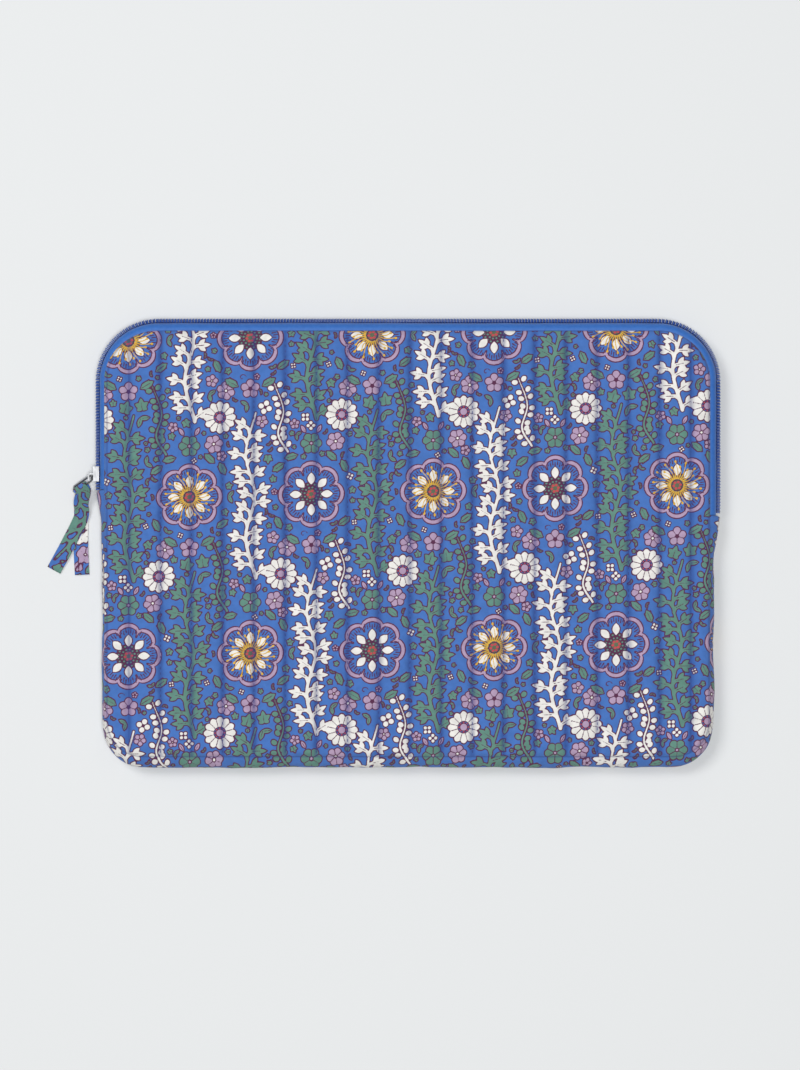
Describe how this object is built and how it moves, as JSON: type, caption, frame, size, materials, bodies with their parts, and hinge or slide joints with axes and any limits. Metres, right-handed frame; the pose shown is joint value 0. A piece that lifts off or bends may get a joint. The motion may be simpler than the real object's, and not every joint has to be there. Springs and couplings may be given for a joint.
{
  "type": "laptop sleeve",
  "caption": "Thin padded sleeve of quilted floral cotton for a laptop, with a zip round its top edge, a folding front flap and a cloth zip pull.",
  "frame": {"origin": "middle of the back panel's outer face, on which the sleeve lies", "axes": "+X across the sleeve to the right seen from the front, +Y towards the zipped top edge, +Z out of the front panel"},
  "size_m": [0.3781, 0.2521, 0.021],
  "materials": {
    "printed_cotton": null,
    "batting": "soft polyester wadding",
    "lining_cotton": "plain blue woven cotton",
    "quilting_thread": "matte sewing thread",
    "zip_tape": "woven polyester tape, slight sheen",
    "zip_coil": "satin nylon monofilament",
    "slider_metal": "polished nickel plate"
  },
  "bodies": {
    "base": {"front_cloth_base": "printed_cotton", "back_cloth": "printed_cotton", "front_batting_base": "batting", "back_batting": "batting", "front_lining_base": "lining_cotton", "back_lining": "lining_cotton", "front_quilting_base": "quilting_thread", "back_quilting": "quilting_thread", "gusset_cloth": "printed_cotton", "gusset_lining": "lining_cotton", "zip_tape_left_end": "zip_tape", "zip_tape_right_end": "zip_tape", "zip_tape_back": "zip_tape", "zip_coil_left_end": "zip_coil", "zip_coil_right_end": "zip_coil", "zip_coil_back": "zip_coil"},
    "flap": {"front_cloth_flap": "printed_cotton", "front_batting_flap": "batting", "front_lining_flap": "lining_cotton", "front_quilting_flap": "quilting_thread", "zip_tape_flap": "zip_tape", "zip_coil_flap": "zip_coil"},
    "slider": {"slider": "slider_metal"},
    "pull_tab": {"pull_tab": "slider_metal"},
    "cloth_pull": {"cloth_pull": "printed_cotton"}
  },
  "joints": [
    {"name": "flap_fold", "type": "hinge", "parent": "base", "child": "flap", "pos_m": [0, 0.048, 0.021], "axis": [1, 0, 0], "range_deg": [0, 150]},
    {"name": "slider_run", "type": "slide", "parent": "base", "child": "slider", "axis": [0, 1, 0], "range_m": [0, 0.045]},
    {"name": "tab_swing", "type": "hinge", "parent": "slider", "child": "pull_tab", "pos_m": [-0.1773, 0.0372, 0.0105], "axis": [-0.055, 0.6482, -0.7595], "range_deg": [0, 90]},
    {"name": "cloth_pull_swing", "type": "hinge", "parent": "pull_tab", "child": "cloth_pull", "pos_m": [-0.18043, 0.03343, 0.01086], "axis": [-0.7776, -0.505, -0.3746], "range_deg": [0, 90]}
  ]
}
